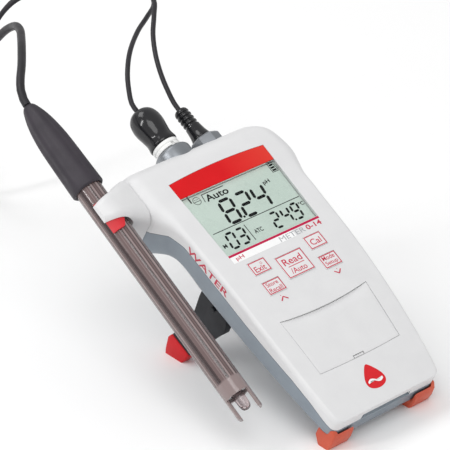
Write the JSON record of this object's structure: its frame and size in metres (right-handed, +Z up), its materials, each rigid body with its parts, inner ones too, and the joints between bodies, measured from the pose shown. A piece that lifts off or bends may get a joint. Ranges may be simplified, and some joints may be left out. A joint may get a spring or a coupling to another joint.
{
  "type": "portable pH meter with electrode",
  "caption": "Handheld meter leaning on a folding stand, with an electrode held in a swivelling side clip, cables plugged into its head, and soft feet.",
  "frame": {"origin": "ground plane under the middle of the meter and its electrode, cords left out", "axes": "+Z up from the ground, +X to the meter's right as its display is read, +Y away from the reader, towards the connectors"},
  "size_m": [0.1264, 0.3564, 0.1257],
  "materials": {
    "white": "satin moulded plastic",
    "grey": "satin moulded plastic",
    "red": "printed band, semi-gloss",
    "window": "clear display window",
    "lcd": "reflective display glass",
    "board": "circuit board",
    "rubber_dark": "matte",
    "rubber_grey": "matte",
    "foot": "smooth soft rubber",
    "stand": "fine-textured plastic",
    "stand_red": "smooth soft rubber",
    "steel": "turned",
    "nickel": "plated and bead blasted",
    "brass": "plain",
    "cell": "printed jacket",
    "boot": "glossy",
    "ring": "satin",
    "cap": "satin, slightly rubbery",
    "shaft": "tinted clear tube",
    "inner": "glass stem",
    "bulb": "thin glass",
    "cable": "smooth jacket",
    "grip": "smooth soft rubber"
  },
  "bodies": {
    "case": {"front_cover": "white", "rear_shell": "grey", "red_band": "red", "display_window": "window", "lcd_module": "lcd", "zebra_strip": "rubber_grey", "keypad_membrane": "rubber_grey", "main_board": "board", "buzzer": "rubber_dark", "battery_tray": "rubber_dark", "battery_1": "cell", "battery_2": "cell", "battery_3": "cell", "contact_left": "brass", "contact_right": "brass", "bnc_socket": "nickel", "bnc_collar": "nickel", "bnc_plug_core": "brass", "bnc_boot": "boot", "cinch_socket": "nickel", "cinch_collar": "nickel", "cinch_plug_core": "brass", "cinch_boot": "cable", "front_foot_left": "foot", "front_foot_right": "foot", "case_screw_1": "steel", "case_screw_2": "steel", "case_screw_3": "steel", "case_screw_4": "steel", "stand_pin": "steel", "pivot_spring": "steel", "friction_washer": "rubber_dark", "electrode_cable": "cable", "cable_coil": "cable", "y_splitter": "cable", "bnc_tail": "cable", "cinch_tail": "cable"},
    "electrode_arm": {"clip_arm": "white", "clip_grip": "grip", "arm_pivot": "steel", "pivot_clip": "steel", "electrode_cap": "cap", "electrode_shaft": "shaft", "electrode_tip_plug": "inner", "inner_tube": "inner", "glass_bulb": "bulb", "temperature_sensor": "steel"},
    "stand": {"kickstand": "stand", "stand_foot_left": "stand_red", "stand_foot_right": "stand_red"},
    "door": {"battery_door": "white", "door_latch": "white"},
    "lock_ring": {"bnc_lock_ring": "ring"},
    "key_exit_body": {"key_exit": "white"},
    "key_read_body": {"key_read": "white"},
    "key_cal_body": {"key_cal": "white"},
    "key_mode_body": {"key_mode": "white"},
    "key_store_body": {"key_store": "white"}
  },
  "joints": [
    {"name": "arm_swivel", "type": "hinge", "parent": "case", "child": "electrode_arm", "pos_m": [-0.0333, 0.03702, 0.07233], "axis": [1, 0, 0], "range_deg": [-20, 60]},
    {"name": "stand_fold", "type": "hinge", "parent": "case", "child": "stand", "pos_m": [0.0117, -0.00913, 0.03974], "axis": [1, 0, 0], "range_deg": [-86, 0]},
    {"name": "battery_door_hinge", "type": "hinge", "parent": "case", "child": "door", "pos_m": [0.0117, -0.04544, 0.04681], "axis": [-1, 0, 0], "range_deg": [0, 70]},
    {"name": "lock_ring_turn", "type": "hinge", "parent": "case", "child": "lock_ring", "pos_m": [0.0042, 0.05287, 0.08626], "axis": [0, 0.8862, 0.4633], "range_deg": [0, 90]},
    {"name": "key_exit_press", "type": "slide", "parent": "case", "child": "key_exit_body", "axis": [0, 0.4633, -0.8862], "range_m": [0, 0.0005], "stiffness_N_per_m": 300, "springref_m": -0.0003},
    {"name": "key_read_press", "type": "slide", "parent": "case", "child": "key_read_body", "axis": [0, 0.4633, -0.8862], "range_m": [0, 0.0005], "stiffness_N_per_m": 300, "springref_m": -0.0003},
    {"name": "key_cal_press", "type": "slide", "parent": "case", "child": "key_cal_body", "axis": [0, 0.4633, -0.8862], "range_m": [0, 0.0005], "stiffness_N_per_m": 300, "springref_m": -0.0003},
    {"name": "key_mode_press", "type": "slide", "parent": "case", "child": "key_mode_body", "axis": [0, 0.4633, -0.8862], "range_m": [0, 0.0005], "stiffness_N_per_m": 300, "springref_m": -0.0003},
    {"name": "key_store_press", "type": "slide", "parent": "case", "child": "key_store_body", "axis": [0, 0.4633, -0.8862], "range_m": [0, 0.0005], "stiffness_N_per_m": 300, "springref_m": -0.0003}
  ]
}
